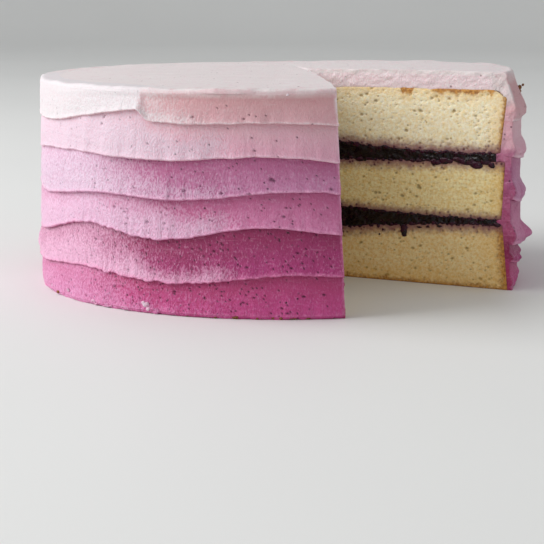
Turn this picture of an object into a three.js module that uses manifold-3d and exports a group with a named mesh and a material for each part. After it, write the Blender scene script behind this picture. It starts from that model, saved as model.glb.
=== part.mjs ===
// Jam cake: three round sponges with jam between them, covered with icing, one slice taken out.
// Millimetres, +Z up. The origin is the centre of the base, and -Y is the front.
// The icing on the side is six bands of one hue that darkens downwards. A palette knife drew each
// band round the cake, so each has a wavy lower lip that hangs over the band below it.
import * as THREE from 'three';
import { mergeVertices } from 'three/addons/utils/BufferGeometryUtils.js';
import Module from 'manifold-3d';

const wasm = await Module();
wasm.setup();

// Driving dimensions
const SPONGE_RADIUS = 103;
const JAM_RADIUS = 98.5; // the jam stops short of the edge, and icing fills the groove it leaves
const GAP = 0.3; // clearance between touching pieces
const RIM_HEIGHT = 92;
const TOP_DOME = 1.8; // rise of the top's middle over its rim
const TOP_TILT = 3; // further rise of the rim on the +X side
const RIM_ROUND = 3;
const TUCK_RADIUS = 106.4; // where a band starts, under the lip above it
const LIP_REACH = 2.3; // how far a lip stands out beyond the tuck
const LIP_TIP = 1.5; // the lip's furthest point above its lower edge
const LIP_CURL = { in: 0.9, up: 0.2 }; // where the lip turns under, from its furthest point and edge
const LIP_SEAM = 0.9; // height of the seam under a lip above the lip's lower edge
const BULGES = [[0.7, 0.85], [0.35, 0.42]]; // how far out a band is, at these shares of its height down
const RIM_RADIUS = 107.4;
const FOOT_RADIUS = 107.2;
const FOOT_TIP = 4.5; // height of the lowest band's furthest point
const SHOULDER = { width: 8, drop: 3, corner: 3 }; // the top sponge's rounded shoulder
const EDGE_ROUND = 1; // of the other sponges' upper edges
const JAM_RAGGED = 0.8; // how far the jam's edge wanders in
const CRUMPLE = 0.5; // waviness of the sponges' faces
const RINGS = [34, 66, 96]; // radii at which the flat faces are drawn
const LAYER_STEPS = 36; // steps round the sponges, jam and top
const BAND_STEPS = 72; // steps round the wavy bands of icing

// The missing slice, seen from above: the two cuts meet a little off the middle
const SLICE_POINT = [12, 5];
const NEAR_CUT = -83; // degrees from +X
const FAR_CUT = -27.3;
const KNIFE_MARK = { start: -3, end: 40, width: 0.8, depth: 1.2, angle: 99 };

// Heights where one layer meets the next, at the middle and at the edge. The jam is thick in the
// middle of the cake and thin at its edge.
const LAYER_FACES = {
  bottomSpongeTop: { middle: 22.4, edge: 28.2, reach: 98 },
  lowerJamTop: { middle: 32.8, edge: 30.6, reach: 98 },
  middleSpongeTop: { middle: 53.4, edge: 56, reach: 98 },
  upperJamTop: { middle: 63, edge: 59.4, reach: 70 },
  topSpongeTop: { middle: 85.5, edge: 87.3, reach: 85 },
};

// The wavy lips of the icing, from the top: a mean height, and waves of [count round the cake,
// height, angle of a crest]. A stroke end is where one stroke of the knife stops higher than the
// next one starts.
const LIPS = [
  { height: 76.6, waves: [[2, 1.7, 82], [4, 0.5, -28], [8, 0.8, 4]], strokeEnd: -118.5 },
  { height: 62.1, waves: [[2, 2.1, 66], [6, 1.5, 28], [8, 0.5, 6]], strokeEnd: 148 },
  { height: 46.4, waves: [[2, 2.5, 76], [3, 1.5, 41], [7, 1.5, 19]], strokeEnd: 62 },
  { height: 30.3, waves: [[2, 6.1, 82], [4, 1.8, 26], [7, 1.4, 11], [9, 1.2, -16]], strokeEnd: 150 },
  { height: 15, waves: [[2, 1.6, -85], [3, 1, 58], [7, 1.6, 14]], strokeEnd: 104 },
];
const STROKE_RISE = 4.5;
const STROKE_FADE = 16; // degrees over which a stroke climbs to its end
const STROKE_STEP = 4; // degrees over which it drops to the next

// A torn lump of icing on the fourth lip, beside the slice, and the foot that the slice dragged out
const LUMP = { lip: 3, angle: -12, width: 9, reach: 3.4 };
const FOOT_FLARE = { angle: -27.3, width: 12, reach: 2.4 };

const radians = THREE.MathUtils.degToRad;
const clamp01 = (t) => THREE.MathUtils.clamp(t, 0, 1);
const ease = (t) => clamp01(t) ** 2 * (3 - 2 * clamp01(t));

// Degrees from one direction to another, between -180 and 180
function turnFrom(angle, other) {
  return THREE.MathUtils.euclideanModulo(other - angle + 180, 360) - 180;
}

// A smooth hump, 1 at its angle and gone beyond twice its width
function hump(angle, { angle: middle, width }) {
  return Math.exp(-((turnFrom(middle, angle) / width) ** 2));
}

function lipHeight(index, angle) {
  const { height, waves, strokeEnd } = LIPS[index];
  let z = height;
  for (const [count, rise, crest] of waves) z += rise * Math.cos(count * radians(angle - crest));
  const past = turnFrom(strokeEnd, angle);
  const climb = past < 0 ? Math.exp(past / STROKE_FADE) : 1 - ease(past / STROKE_STEP);
  return z + STROKE_RISE * climb;
}

function lipReach(index, angle) {
  const uneven = 0.5 * Math.sin(radians(3 * angle + 70 * index)) + 0.3 * Math.sin(radians(8 * angle));
  const lump = index === LUMP.lip ? LUMP.reach * hump(angle, LUMP) : 0;
  return LIP_REACH + uneven + lump;
}

function topHeight(radius, angle) {
  const out = radius / RIM_RADIUS;
  const side = Math.max(0, out * Math.cos(radians(angle)));
  return RIM_HEIGHT + TOP_DOME * (1 - out ** 3) + TOP_TILT * side ** 1.1;
}

function layerHeight(face, radius, angle) {
  const { middle, edge, reach } = LAYER_FACES[face];
  const wave = Math.sin(radians(3 * angle + middle)) * Math.sin(radius / 25);
  return THREE.MathUtils.lerp(middle, edge, ease(radius / reach)) + CRUMPLE * wave;
}

// A closed solid turned about the Z axis. profileAt(angle) lists [radius, height] points with the
// solid on their left; a point at radius 0 is one point for all angles. A patch is split from its
// inner to its outer edge the same way on its upper and its lower side, so that what lies on it fits.
function turned(steps, profileAt) {
  const points = [];
  const profiles = [];
  const rows = [];
  for (let step = 0; step < steps; step += 1) {
    const angle = (360 * step) / steps;
    profiles.push(profileAt(angle));
    rows.push(profiles[step].map(([radius, z], place) => {
      if (radius === 0 && step > 0) return rows[0][place];
      points.push(radius * Math.cos(radians(angle)), radius * Math.sin(radians(angle)), z);
      return points.length / 3 - 1;
    }));
  }
  const faces = [];
  rows.forEach((row, step) => {
    const nextRow = rows[(step + 1) % steps];
    row.forEach((a, place) => {
      const next = (place + 1) % row.length;
      const [b, c, d] = [nextRow[place], nextRow[next], row[next]];
      const outward = profiles[step][place][0] < profiles[step][next][0];
      if (a !== b) faces.push(a, b, outward ? c : d);
      if (c !== d) faces.push(outward ? a : b, c, d);
    });
  });
  return solid(points, faces);
}

function solid(points, faces) {
  const mesh = { numProp: 3, vertProperties: new Float32Array(points), triVerts: new Uint32Array(faces) };
  return new wasm.Manifold(new wasm.Mesh(mesh));
}

function solidOf(geometry) {
  geometry.deleteAttribute('normal');
  geometry.deleteAttribute('uv');
  const merged = mergeVertices(geometry);
  return solid(merged.attributes.position.array, merged.index.array);
}

// The slice as an upright wedge, taken out of every piece
function slice() {
  const [x, y] = SLICE_POINT;
  const reach = 3 * SPONGE_RADIUS;
  const outline = new THREE.Shape();
  outline.moveTo(x, y);
  for (const cut of [NEAR_CUT, FAR_CUT]) {
    outline.lineTo(x + reach * Math.cos(radians(cut)), y + reach * Math.sin(radians(cut)));
  }
  const geometry = new THREE.ExtrudeGeometry(outline, { depth: 2 * RIM_HEIGHT, bevelEnabled: false });
  return solidOf(geometry.translate(0, 0, -RIM_HEIGHT / 2));
}

// The groove that the knife left where it ran on past the point of the slice
function knifeMark() {
  const { start, end, width, depth, angle } = KNIFE_MARK;
  const [x, y] = SLICE_POINT;
  const top = topHeight(Math.hypot(x, y), 0);
  const outline = new THREE.Shape();
  outline.moveTo(-width / 2, depth);
  outline.lineTo(0, -depth);
  outline.lineTo(width / 2, depth);
  const geometry = new THREE.ExtrudeGeometry(outline, { depth: end - start, bevelEnabled: false });
  geometry.translate(0, 0, start).rotateX(Math.PI / 2).rotateZ(radians(angle + 90));
  return solidOf(geometry.translate(x, y, top));
}

function shoulderDrop(radius) {
  const { width, drop } = SHOULDER;
  return drop * ease((radius - SPONGE_RADIUS + width) / width) ** 2;
}

// A sponge between two faces, in its own size or grown by the gap to cut the icing round it
function sponge(bottomFace, topFace, grown = 0) {
  const isTop = topFace === 'topSpongeTop';
  const under = (radius, angle) => (bottomFace ? layerHeight(bottomFace, radius, angle) + GAP : 0) - grown;
  const over = (radius, angle) => {
    const drop = isTop ? shoulderDrop(radius) : 0;
    return layerHeight(topFace, radius, angle) - drop + grown;
  };
  return turned(LAYER_STEPS, (angle) => {
    const foot = bottomFace ? 0 : EDGE_ROUND + FOOT_FLARE.reach * hump(angle, FOOT_FLARE);
    const side = SPONGE_RADIUS + grown;
    const shoulder = side - (isTop ? SHOULDER.corner : EDGE_ROUND);
    return [
      [0, under(0, 0)],
      ...RINGS.map((radius) => [radius, under(radius, angle)]),
      [side + foot, under(side, angle)],
      [side, over(side, angle) - (isTop ? 0 : EDGE_ROUND)],
      [shoulder, over(shoulder, angle)],
      ...RINGS.toReversed().map((radius) => [radius, over(radius, angle)]),
      [0, over(0, 0)],
    ];
  });
}

function jam(bottomFace, topFace) {
  return turned(LAYER_STEPS, (angle) => {
    const side = JAM_RADIUS - JAM_RAGGED * (1 + Math.sin(radians(7 * angle)));
    const rim = (layerHeight(bottomFace, side, angle) + layerHeight(topFace, side, angle) + GAP) / 2;
    return [
      [0, layerHeight(bottomFace, 0, 0) + GAP],
      ...RINGS.map((radius) => [radius, layerHeight(bottomFace, radius, angle) + GAP]),
      [side, rim],
      ...RINGS.toReversed().map((radius) => [radius, layerHeight(topFace, radius, angle)]),
      [0, layerHeight(topFace, 0, 0)],
    ];
  });
}

function topIcing() {
  const side = JAM_RADIUS;
  const under = (radius, angle) => layerHeight('topSpongeTop', radius, angle) - shoulderDrop(radius) + GAP;
  return turned(LAYER_STEPS, (angle) => [
    [0, under(0, 0)],
    ...RINGS.map((radius) => [radius, under(radius, angle)]),
    [side, under(side, angle)],
    [side, topHeight(side, angle)],
    ...RINGS.toReversed().map((radius) => [radius, topHeight(radius, angle)]),
    [0, topHeight(0, 0)],
  ]);
}

// The rim of the first band, from the top face round to its side
function rimProfile(angle) {
  const inner = JAM_RADIUS + GAP;
  const crown = topHeight(RIM_RADIUS, angle);
  const corner = RIM_RADIUS - RIM_ROUND;
  const half = RIM_ROUND * Math.SQRT1_2;
  return [
    [RIM_RADIUS, crown - RIM_ROUND],
    [corner + half, crown - RIM_ROUND + half],
    [corner, topHeight(corner, angle)],
    [inner, topHeight(inner, angle)],
  ];
}

// A band of side icing between lip number index - 1 above and lip number index below
function icingBand(index) {
  const inner = JAM_RADIUS + GAP;
  const isFirst = index === 0;
  const isLast = index === LIPS.length;
  return turned(BAND_STEPS, (angle) => {
    const tip = TUCK_RADIUS + (isLast ? LIP_REACH : lipReach(index, angle));
    const lip = isLast ? 0 : lipHeight(index, angle);
    const flare = isLast ? FOOT_FLARE.reach * hump(angle, FOOT_FLARE) : 0;
    const tuck = isFirst ? RIM_RADIUS : TUCK_RADIUS;
    const upper = isFirst
      ? topHeight(RIM_RADIUS, angle) - RIM_ROUND
      : lipHeight(index - 1, angle) + LIP_SEAM - GAP;
    const tipHeight = lip + (isLast ? FOOT_TIP : LIP_TIP);
    const bulge = ([down, out]) => [
      THREE.MathUtils.lerp(tuck, tip + flare, out),
      THREE.MathUtils.lerp(upper, tipHeight, down),
    ];
    const seam = lip + LIP_SEAM;
    const underside = isLast
      ? [[inner, 0], [FOOT_RADIUS + flare, 0]]
      : [[inner, seam], [TUCK_RADIUS + GAP, seam], [tip - LIP_CURL.in, lip + LIP_CURL.up]];
    const top = isFirst ? rimProfile(angle) : [[tuck, upper], [inner, upper]];
    return [...underside, [tip + flare, tipHeight], ...BULGES.map(bulge), ...top];
  });
}

const sponges = {
  bottom: [null, 'bottomSpongeTop'],
  middle: ['lowerJamTop', 'middleSpongeTop'],
  top: ['upperJamTop', 'topSpongeTop'],
};

// The icing is drawn round the sponges, so they are cut out of it
const spongeRoom = Object.values(sponges)
  .map(([under, over]) => sponge(under, over, GAP))
  .reduce((all, room) => all.add(room));
const missingSlice = slice();

const cake = new THREE.Group();

function addPiece(name, shape, look) {
  const { vertProperties, triVerts } = shape.subtract(missingSlice).getMesh();
  const geometry = new THREE.BufferGeometry();
  geometry.setAttribute('position', new THREE.BufferAttribute(vertProperties, 3));
  geometry.setIndex(new THREE.BufferAttribute(triVerts, 1));
  geometry.computeVertexNormals();
  const mesh = new THREE.Mesh(geometry, new THREE.MeshStandardMaterial({ metalness: 0, ...look }));
  mesh.name = name;
  cake.add(mesh);
}

const CRUMB = { color: '#dcc58a', roughness: 0.9 };
const JAM = { color: '#2a0d22', roughness: 0.25 };
const ICING_ROUGHNESS = 0.5;
const BAND_COLOURS = ['#e6d3d8', '#dfbfd2', '#cf94bb', '#cb92bb', '#b4568f', '#bb5793'];

addPiece('sponge_bottom', sponge(...sponges.bottom), CRUMB);
addPiece('jam_lower', jam('bottomSpongeTop', 'lowerJamTop'), JAM);
addPiece('sponge_middle', sponge(...sponges.middle), CRUMB);
addPiece('jam_upper', jam('middleSpongeTop', 'upperJamTop'), JAM);
addPiece('sponge_top', sponge(...sponges.top), CRUMB);
addPiece('icing_top', topIcing().subtract(knifeMark()), { color: '#e4d8da', roughness: ICING_ROUGHNESS });
BAND_COLOURS.forEach((color, index) => {
  const band = icingBand(index).subtract(spongeRoom);
  addPiece(`icing_band_${index + 1}`, band, { color, roughness: ICING_ROUGHNESS });
});

export default cake;
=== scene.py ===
"""Jam cake with a slice taken out: the finish of the icing, the sponge crumb and the jam.

Everything is worked out in millimetres, from the same few sizes as the solids, and becomes metres
where a mesh is made. Z is up, -Y is the front, and the cake stands on the floor at its middle.
"""
import itertools
import math

import bmesh
import bpy
import numpy as np
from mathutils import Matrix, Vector


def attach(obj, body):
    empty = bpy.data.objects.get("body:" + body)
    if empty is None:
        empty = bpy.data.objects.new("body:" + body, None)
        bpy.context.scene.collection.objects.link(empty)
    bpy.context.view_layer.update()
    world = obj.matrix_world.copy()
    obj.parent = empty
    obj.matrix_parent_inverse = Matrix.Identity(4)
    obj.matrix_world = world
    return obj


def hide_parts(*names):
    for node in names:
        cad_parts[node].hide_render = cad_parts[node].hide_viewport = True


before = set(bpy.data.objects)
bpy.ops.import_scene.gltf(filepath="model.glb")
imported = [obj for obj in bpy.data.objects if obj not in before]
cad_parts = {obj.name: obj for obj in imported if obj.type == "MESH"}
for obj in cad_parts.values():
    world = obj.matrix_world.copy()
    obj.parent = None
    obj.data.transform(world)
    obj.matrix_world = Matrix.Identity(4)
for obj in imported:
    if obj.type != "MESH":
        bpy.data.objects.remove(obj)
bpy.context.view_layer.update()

MM = 0.001
SEED = 7

# The sponges, the jam and the icing
SPONGE_RADIUS = 103.0
JAM_RADIUS = 98.5
SHOULDER_WIDTH = 8.0  # how far in from its edge the top sponge starts to round off
SHOULDER_DROP = 3.0  # how far it has dropped at the edge
TOP_COAT_RADIUS = 98.8  # where the icing of the top meets the first band
TOP_DOME = 1.8  # rise of the top's middle over its rim
TOP_TILT = 3.0  # further rise of the rim at the right
RIM_HEIGHT = 92.0
RIM_RADIUS = 107.4
RIM_ROUND = 1.8
TUCK_RADIUS = 107.2  # where a band starts, under the lip above it
LIP_REACH = 1.7  # how far a lip stands out beyond the tuck
LIP_ROUND = 0.5
LIP_SEAM = 0.9  # height of the seam under a lip above the lip's lower edge
FOOT_RADIUS = 107.8
FOOT_TIP = 1.4  # height of the lowest band's furthest point

# The missing slice: the point where its two cuts meet, and the way each cut runs
SLICE_POINT = np.array([12.0, 5.0])
NEAR_CUT = -82.6
FAR_CUT = -27.3
CUT_LEAN = 2.1  # how far the knife had turned, in degrees, where the near cut met the rim
KNIFE_MARK = {"angle": 99.0, "length": 42.0, "width": 0.7, "depth": 0.7}

# Where one layer meets the next: height in the middle, height at the edge, radius where it levels
LAYER_FACES = {
    "bottom_sponge_top": (22.4, 28.2, 98.0),
    "lower_jam_top": (32.8, 30.6, 98.0),
    "middle_sponge_top": (53.4, 56.0, 98.0),
    "upper_jam_top": (63.0, 59.4, 70.0),
    "top_sponge_top": (85.5, 87.3, 85.0),
}

# The lips of the icing bands: mean height, waves of (count round the cake, height, crest angle),
# and the angle where a stroke of the palette knife ends above the next one
LIPS = [
    (76.6, [(2, 1.7, 82), (4, 0.5, -28), (8, 0.8, 4)], -121.5),
    (62.1, [(2, 2.1, 66), (6, 1.5, 28), (8, 0.5, 6)], 148),
    (46.4, [(2, 2.5, 76), (3, 1.5, 41), (7, 1.5, 19)], 62),
    (30.3, [(2, 6.1, 82), (4, 1.8, 26), (7, 1.4, 11), (9, 1.2, -16)], 150),
    (15.0, [(2, 1.6, -85), (3, 1.0, 58), (7, 1.6, 14)], 104),
]
STROKE_RISE = 4.5  # how far a stroke rises towards its end
STROKE_FADE = 16.0  # degrees in which it rises by most of that
STROKE_STEP = 3.2  # degrees from its end to the full width of the next one
FIRST_STROKE_END = 240.2  # where the thick, pale stroke at the left of the first band ends

# Places where the icing is different: the angle and how many degrees wide each is
LIP_SAGS = {
    3: {"angle": -95.0, "width": 16.0, "reach": 1.4},
    4: {"angle": -92.0, "width": 22.0, "reach": 0.8},
}
LIP_TEARS = {3: {"angle": -127.0, "width": 14.0}, 4: {"angle": -122.0, "width": 25.0}}
LUMP = {"lip": 3, "angle": -8.0, "width": 3.6, "reach": 4.0}
FULL_SIDE = {"angle": -8.0, "width": 38.0, "reach": 1.5}  # where the icing is thickest
SAGGING_SIDE = {"angle": -8.0, "width": 26.0}  # where the lips hang lowest
SIDE_SAGS = (1.4, 2.8, 4.6, 4.2, 1.2)  # how much lower each lip hangs there
SMOOTH_SIDE = {"angle": 183.0, "width": 17.0}  # where the lips hardly stand out
SMOOTH_REACH = (0.3, 0.3, 0.6, 0.9, 2.3)  # how far each lip stands out there
RIM_TAPER = {"angle": -8.0, "width": 28.0, "reach": 2.4}  # where the rim slopes in
RIM_CURL = {"angle": -101.0, "width": 5.0, "reach": 0.9}  # where the knife left the rim
FOOT_FLARE = {"angle": -27.3, "width": 12.0, "reach": 2.4}  # where the foot spreads
FAR_SIDE = {"angle": -22.0, "width": 25.0}  # where the layers reach further out into the icing
FAR_REACH = {
    "sponge_bottom": 2.2, "sponge_middle": 2.9, "sponge_top": 2.9,
    "jam_lower": 3.6, "jam_upper": 2.0,
}
LIP_BEAD = 0.45  # how far the last millimetre of a band stands out, pushed up by the knife
CUT_ROUND = 0.5  # how far the knife rounded the corner between a cut and the side
CUT_SMEAR = 1.6  # how far from a cut the slicing knife smeared the tints
RIM_TINTING = (0.5, 0.45, 0.35, 0.2)  # how far the first band's upper rows have the tint of the top

# Open bubbles: how many small ones each band has, then angle, height and size of its large ones
PIT_COUNTS = (40, 60, 110, 140, 260, 220)
BUBBLE_SHARE = 0.78  # how large a bubble's hollow is against the size given for it
BUBBLES = [
    [(-96.0, 80.0, 0.8)],
    [(-119.0, 69.5, 0.8), (-94.5, 73.0, 0.7), (-89.0, 65.0, 0.6)],
    [(-90.8, 56.6, 1.3), (-90.0, 56.3, 1.0), (-101.8, 50.6, 1.0), (-95.4, 50.4, 1.0),
     (-98.0, 52.8, 0.6)],
    [(-88.5, 41.6, 0.9), (-90.5, 40.0, 0.7), (-126.0, 41.0, 0.8), (-125.0, 38.5, 0.7)],
    [(-103.0, 22.0, 0.9), (-104.0, 27.0, 0.8)],
    [(-136.0, 10.5, 0.9), (-137.5, 9.0, 0.7), (-113.5, 10.0, 1.0)],
]


# Sums in millimetres and degrees

def ease(t):
    t = np.clip(t, 0, 1)
    return t * t * (3 - 2 * t)


def turn_from(angle, other):
    return (other - angle + 180) % 360 - 180


def hump(angle, spot):
    return np.exp(-((turn_from(spot["angle"], angle) / spot["width"]) ** 2))


def noise(x, y, z=0.0, seed=0):
    """Smooth random heights between -1 and 1, with one bump to a unit of x, y and z."""
    grid = np.broadcast_arrays(x, y, z)
    cells = [np.floor(a).astype(np.int64) for a in grid]
    inside = [a - c for a, c in zip(grid, cells)]
    total = np.zeros(grid[0].shape)
    for corner in itertools.product((0, 1), repeat=3):
        key = seed * 1013904223 + 12345
        weight = 1.0
        for cell, part, side, prime in zip(cells, inside, corner, (374761393, 668265263, 715225739)):
            key = key + (cell + side) * prime
            fade = part * part * (3 - 2 * part)
            weight = weight * (fade if side else 1 - fade)
        key = key & 0xFFFFFFFF
        key = ((key ^ (key >> 15)) * 2246822519) & 0xFFFFFFFF
        key = ((key ^ (key >> 13)) * 3266489917) & 0xFFFFFFFF
        total += weight * ((key ^ (key >> 16)) & 0xFFFFFF) / 0xFFFFFF
    return 2 * total - 1


def layered_noise(x, y, z=0.0, seed=0, octaves=3):
    parts = [noise(x * 2**n, y * 2**n, z * 2**n, seed + n) / 2**n for n in range(octaves)]
    return sum(parts)


def reach_of(spot, angle):
    """How far out something that is fullest in one place reaches at an angle."""
    return spot["reach"] * hump(angle, spot)


def climb(angle, end):
    """How far a stroke has risen towards its end, 1 at the end, and dropped again just past it."""
    past = turn_from(end, angle)
    return np.where(past < 0, np.exp(np.minimum(past, 0) / STROKE_FADE), 1 - ease(past / STROKE_STEP))


def lip_height(index, angle):
    height, waves, end = LIPS[index]
    for count, rise, crest in waves:
        height = height + rise * np.cos(np.radians(count * (angle - crest)))
    if index in LIP_SAGS:
        height = height - reach_of(LIP_SAGS[index], angle)
    height = height - SIDE_SAGS[index] * hump(angle, SAGGING_SIDE)
    return height + STROKE_RISE * climb(angle, end)


def lip_reach(index, angle):
    uneven = 0.4 * np.sin(np.radians(3 * angle + 70 * index)) + 0.3 * np.sin(np.radians(8 * angle))
    uneven = uneven + 0.5 * np.cos(np.radians(angle)) + reach_of(FULL_SIDE, angle)
    lump = reach_of(LUMP, angle) if index == LUMP["lip"] else 0
    reach = LIP_REACH + uneven + lump
    return reach + (SMOOTH_REACH[index] - reach) * hump(angle, SMOOTH_SIDE)


def top_height(radius, angle):
    out = radius / RIM_RADIUS
    side = np.maximum(0, out * np.cos(np.radians(angle)))
    return RIM_HEIGHT + TOP_DOME * (1 - out**3) + TOP_TILT * side**1.1


def far_reach(name, angle):
    return FAR_REACH[name] * hump(angle, FAR_SIDE)


def shoulder_drop(radius):
    return SHOULDER_DROP * ease((radius - SPONGE_RADIUS + SHOULDER_WIDTH) / SHOULDER_WIDTH) ** 2


def layer_height(face, radius, angle):
    """Height of the face between two layers, as uneven as the spread jam and the crumb leave it."""
    middle, edge, reach = LAYER_FACES[face]
    wave = 0.5 * np.sin(np.radians(3 * angle + middle)) * np.sin(radius / 25)
    x, y = on_circle(radius, angle)
    ragged = 0.45 * noise(x / 6, y / 6, middle) + 0.25 * noise(x / 1.9, y / 1.9, middle)
    drop = shoulder_drop(radius - far_reach("sponge_top", angle)) if face == "top_sponge_top" else 0
    return middle + (edge - middle) * ease(radius / reach) + wave + ragged - drop


def on_circle(radius, angle):
    return radius * np.cos(np.radians(angle)), radius * np.sin(np.radians(angle))


def along_ray(direction, radius):
    """How far from the slice's point a ray goes before it is this far from the cake's middle."""
    dx, dy = np.cos(np.radians(direction)), np.sin(np.radians(direction))
    back = SLICE_POINT[0] * dx + SLICE_POINT[1] * dy
    return -back + np.sqrt(back**2 - SLICE_POINT @ SLICE_POINT + radius**2)


def from_point(direction, along):
    dx, dy = np.cos(np.radians(direction)), np.sin(np.radians(direction))
    return SLICE_POINT[0] + along * dx, SLICE_POINT[1] + along * dy


def polar(x, y):
    return np.hypot(x, y), np.degrees(np.arctan2(y, x))


def cut_angle(direction, radius):
    return polar(*from_point(direction, along_ray(direction, radius)))[1]


def lean(points):
    """Turns what is near the near cut about the slice's point, the more the higher it is: the knife
    went down at a slant."""
    x, y, z = np.asarray(points, float).T
    aside = np.stack([x, y]) - SLICE_POINT[:, None]
    direction = np.degrees(np.arctan2(aside[1], aside[0])) % 360
    share = np.where(direction > 305, 0, ease((direction - 200) / (NEAR_CUT + 160)))
    turn = -np.radians(CUT_LEAN * z / RIM_HEIGHT * share)
    x = SLICE_POINT[0] + aside[0] * np.cos(turn) - aside[1] * np.sin(turn)
    y = SLICE_POINT[1] + aside[0] * np.sin(turn) + aside[1] * np.cos(turn)
    return np.stack([x, y, z], -1)


def round_cake(share, radius):
    """Angle at a share of the way round the icing, from the far cut to the near one."""
    start = cut_angle(FAR_CUT, radius)
    return start + share * (cut_angle(NEAR_CUT, radius) + 360 - start)


# Meshes

def quads(numbers):
    """Four-cornered faces between the neighbours in a grid of point numbers."""
    corners = (numbers[:-1, :-1], numbers[1:, :-1], numbers[1:, 1:], numbers[:-1, 1:])
    return np.stack(corners, -1).reshape(-1, 4)


def make_piece(name, points, faces, material, nodes, values=None):
    """A smooth mesh from points in millimetres, with one number a point for each named value."""
    mesh = bpy.data.meshes.new(name)
    mesh.from_pydata((lean(points) * MM).tolist(), [], [list(map(int, face)) for face in faces])
    for value, numbers in (values or {}).items():
        attribute = mesh.attributes.new(value, "FLOAT", "POINT")
        attribute.data.foreach_set("value", np.asarray(numbers, np.float32).ravel())
    mesh.materials.append(material)
    mesh.polygons.foreach_set("use_smooth", [True] * len(mesh.polygons))
    piece = bpy.data.objects.new(name, mesh)
    bpy.context.scene.collection.objects.link(piece)
    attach(piece, "root")
    if nodes:
        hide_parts(*nodes)
    return piece


def welded(sheets):
    """One closed mesh from sheets of points, each rows by columns by 3, that share their edges."""
    points, faces, first = [], [], 0
    for sheet in sheets:
        rows, columns = sheet.shape[:2]
        points.append(sheet.reshape(-1, 3))
        faces.append(quads(first + np.arange(rows * columns).reshape(rows, columns)))
        first += rows * columns
    points, faces = np.concatenate(points), np.concatenate(faces)
    _, kept, same = np.unique(np.round(points, 3), axis=0, return_index=True, return_inverse=True)
    faces = same.reshape(-1)[faces]
    tidy = []
    for face in faces.tolist():
        corners = list(dict.fromkeys(face))
        if len(corners) > 2:
            tidy.append(corners)
    return points[kept], tidy


def face_outwards(piece):
    work = bmesh.new()
    work.from_mesh(piece.data)
    bmesh.ops.recalc_face_normals(work, faces=work.faces)
    work.to_mesh(piece.data)
    work.free()


def cut_normal(cut):
    """The way a cut faces: into the missing slice."""
    turn = -90 if cut == FAR_CUT else 90
    return np.array([math.cos(math.radians(cut + turn)), math.sin(math.radians(cut + turn)), 0.0])


def layer_sheets(lower, upper, side, relief, along_steps, height_steps, turns, top_relief=None):
    """The five sheets of a layer that fills the cake but for the slice.

    lower, upper and side give a height, a height and a radius from a radius and an angle, or from a
    share of the height and an angle. relief is how far a cut face stands out at a length along it
    and a share of its height, for each cut.
    """
    shares = np.linspace(0, 1, along_steps)
    levels = np.linspace(0, 1, height_steps)
    directions = np.linspace(FAR_CUT, NEAR_CUT + 360, turns)

    def place(share, level, direction):
        share, level, direction = np.broadcast_arrays(share, level, direction)
        edge_angle = polar(*from_point(direction, along_ray(direction, SPONGE_RADIUS)))[1]
        reach = along_ray(direction, side(level, edge_angle))
        x, y = from_point(direction, share * reach)
        radius, angle = polar(x, y)
        low, high = lower(radius, angle), upper(radius, angle)
        z = low + level * (high - low)
        return np.stack([x, y, z], -1)

    floor = place(shares[:, None], 0.0, directions[None, :])
    roof = place(shares[:, None], 1.0, directions[None, :])
    if top_relief is not None:
        roof[..., 2] += top_relief(roof[..., 0], roof[..., 1])
    rim = place(1.0, levels[:, None], directions[None, :])
    rim[-1] = roof[-1]
    cuts = []
    for cut, column in ((FAR_CUT, 0), (NEAR_CUT, -1)):
        face = place(shares[:, None], levels[None, :], cut)
        rise = roof[:, column, 2] - face[:, -1, 2]
        face[..., 2] += rise[:, None] * levels[None, :]
        along = np.hypot(face[..., 0] - SLICE_POINT[0], face[..., 1] - SLICE_POINT[1])
        edge = np.minimum(np.minimum(levels, 1 - levels) * 2 * height_steps, 3) / 3
        ends = np.minimum(np.minimum(shares, 1 - shares) * 2 * along_steps, 3) / 3
        out = relief(cut, along, face[..., 2]) * ease(edge)[None, :] * ease(ends)[:, None]
        cuts.append(face + out[..., None] * cut_normal(cut))
    return [floor, roof, rim, *cuts]


# Materials

def linear(colour):
    """An sRGB hex colour as linear red, green and blue with alpha."""
    parts = [int(colour[n:n + 2], 16) / 255 for n in (1, 3, 5)]
    return [p / 12.92 if p <= 0.04045 else ((p + 0.055) / 1.055) ** 2.4 for p in parts] + [1.0]


def add_node(tree, kind, inputs=None, **settings):
    """A node with its settings; an input is a value, or a socket that is linked to it."""
    node = tree.nodes.new(kind)
    for name, value in settings.items():
        setattr(node, name, value)
    for name, value in (inputs or {}).items():
        socket = node.inputs[name]
        if isinstance(value, bpy.types.NodeSocket):
            tree.links.new(value, socket)
        else:
            socket.default_value = value
    return node


def new_material(name):
    material = bpy.data.materials.new(name)
    material.use_nodes = True
    material.node_tree.nodes.clear()
    return material, material.node_tree


def finish_material(tree, shader):
    add_node(tree, "ShaderNodeOutputMaterial", {"Surface": shader.outputs[0]})


def mixed(tree, share, first, second):
    inputs = {"Factor": share, 6: first, 7: second}
    return add_node(tree, "ShaderNodeMix", inputs, data_type="RGBA").outputs[2]


def ranged(tree, value, low, high, to_low=0.0, to_high=1.0):
    inputs = {"Value": value, "From Min": low, "From Max": high, "To Min": to_low, "To Max": to_high}
    return add_node(tree, "ShaderNodeMapRange", inputs, interpolation_type="SMOOTHSTEP").outputs[0]


def worked(tree, operation, first, *others):
    for other in others:
        first = add_node(tree, "ShaderNodeMath", {0: first, 1: other}, operation=operation).outputs[0]
    return first


def patterned(tree, size, stretch=(1, 1, 1)):
    """Coordinates in which one unit is a size in millimetres, drawn out along the axes."""
    place = add_node(tree, "ShaderNodeTexCoord").outputs["Object"]
    scale = [1 / (size * MM * s) for s in stretch]
    inputs = {"Vector": place, "Scale": scale}
    return add_node(tree, "ShaderNodeMapping", inputs).outputs[0]


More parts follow.
